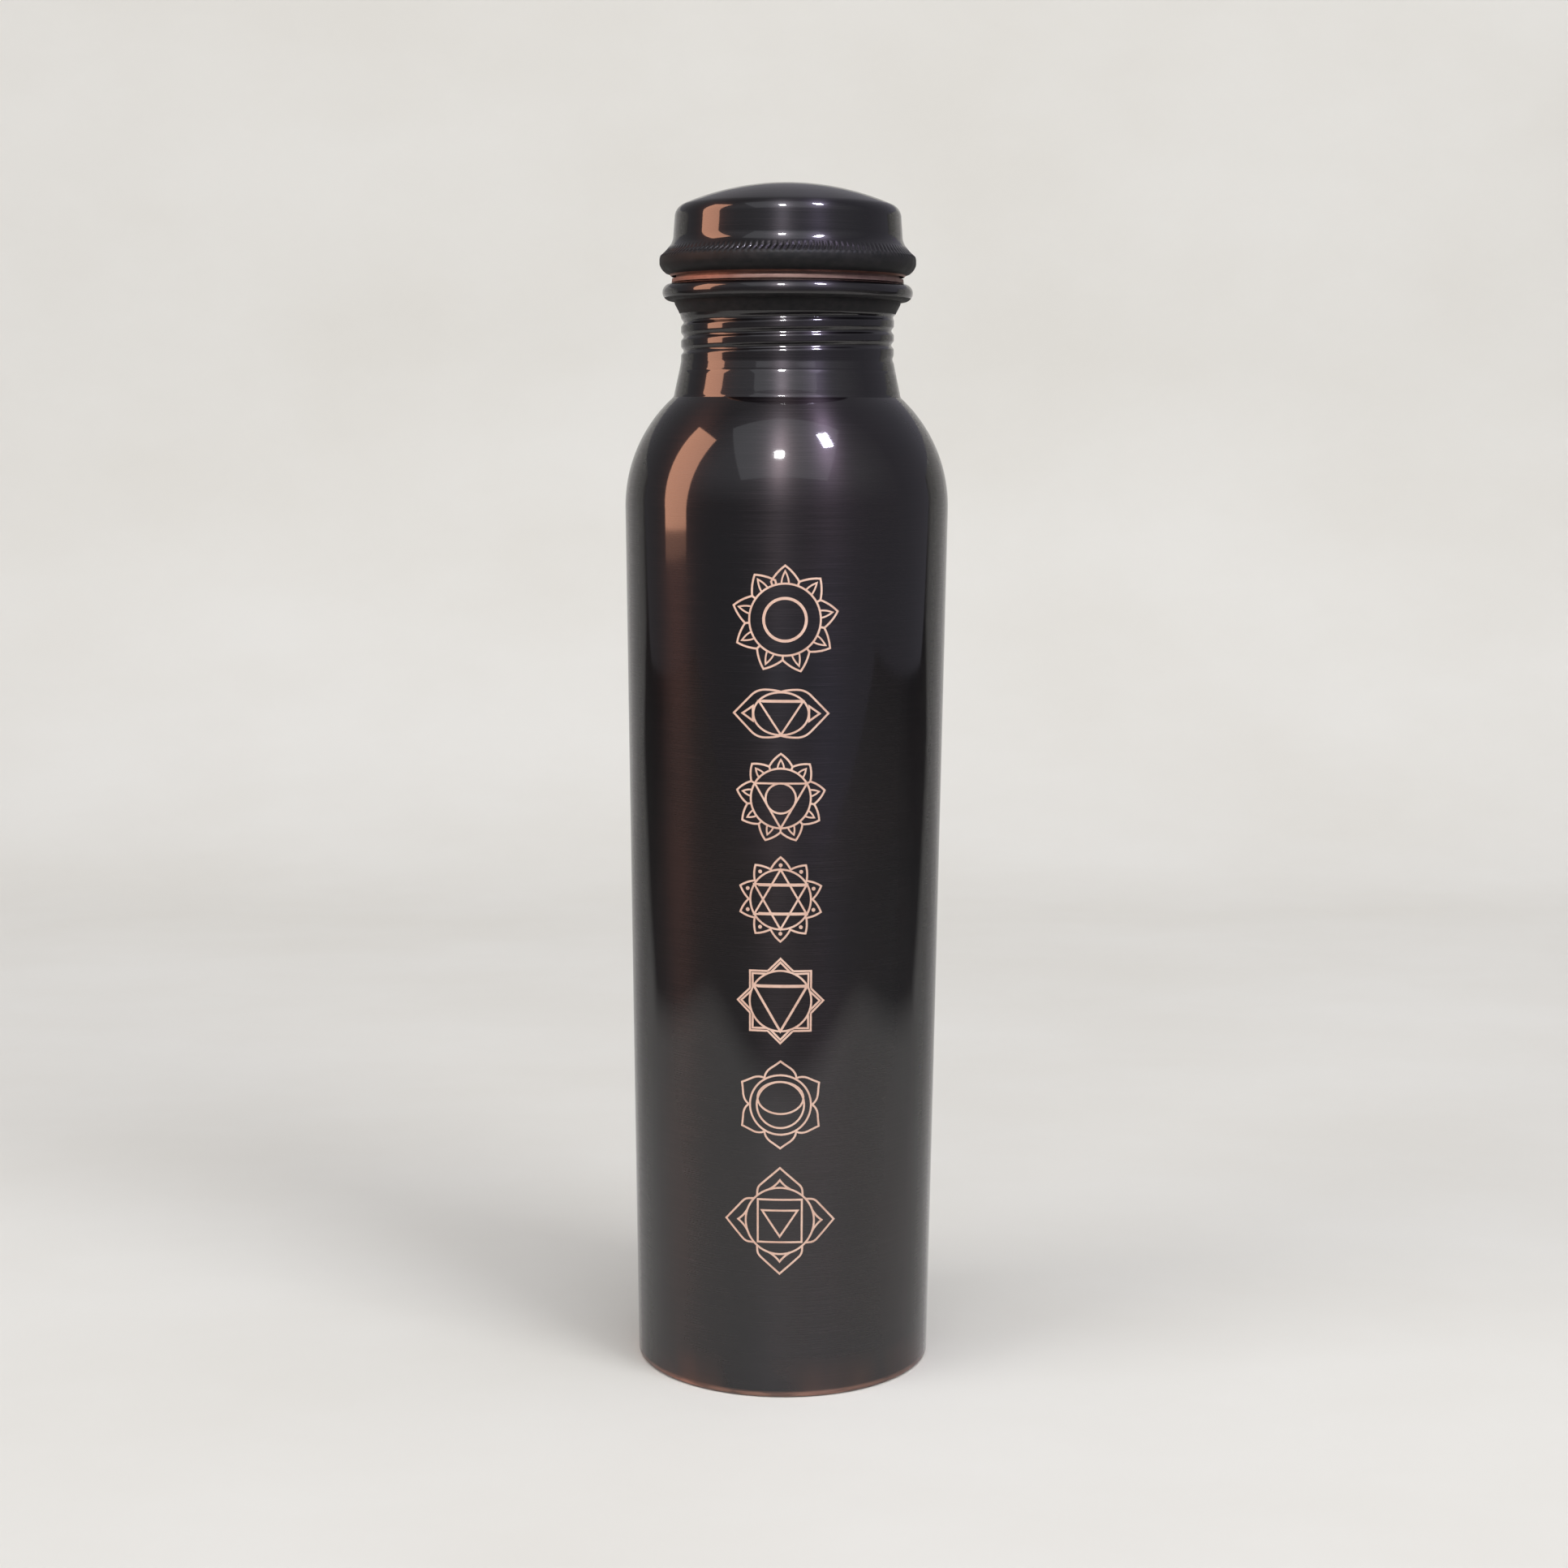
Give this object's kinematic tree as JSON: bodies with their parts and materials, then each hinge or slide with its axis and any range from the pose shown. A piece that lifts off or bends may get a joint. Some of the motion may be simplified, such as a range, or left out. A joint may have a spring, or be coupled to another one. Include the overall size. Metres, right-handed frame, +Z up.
{
  "type": "copper water bottle",
  "caption": "Slender round copper water bottle with a tapered body, round shoulder, threaded neck and a domed screw lid.",
  "frame": {"origin": "centre of the ring that the bottle stands on, on the table", "axes": "+Z up along the bottle's axis; -Y is the front, where the engraved signs run down the body; +X is to the right seen from the front; the thread starts on +X"},
  "size_m": [0.073, 0.073, 0.2695],
  "materials": {
    "dark_copper": "copper sheet, darkened and lacquered, glossy over fine turning marks",
    "bare_copper": "plain copper sheet, lightly tarnished",
    "silicone": "milky silicone, satin"
  },
  "bodies": {
    "bottle": {"bottle_body": "dark_copper", "base_plate": "bare_copper", "neck_ring": "dark_copper"},
    "seal": {"cap_gasket": "silicone"},
    "cap": {"cap_shell": "dark_copper", "cap_plug": "bare_copper"}
  },
  "joints": [
    {"name": "cap_lift", "type": "slide", "parent": "bottle", "child": "seal", "axis": [0, 0, 1], "range_m": [0, 0.0189]},
    {"name": "cap_turn", "type": "hinge", "parent": "seal", "child": "cap", "pos_m": [0, 0, 0.2477], "axis": [0, 0, 1], "range_deg": [0, 2160]}
  ],
  "couplings": [
    {"joint": "cap_lift", "follows": "cap_turn", "m_per_rad": 0.00050134}
  ]
}
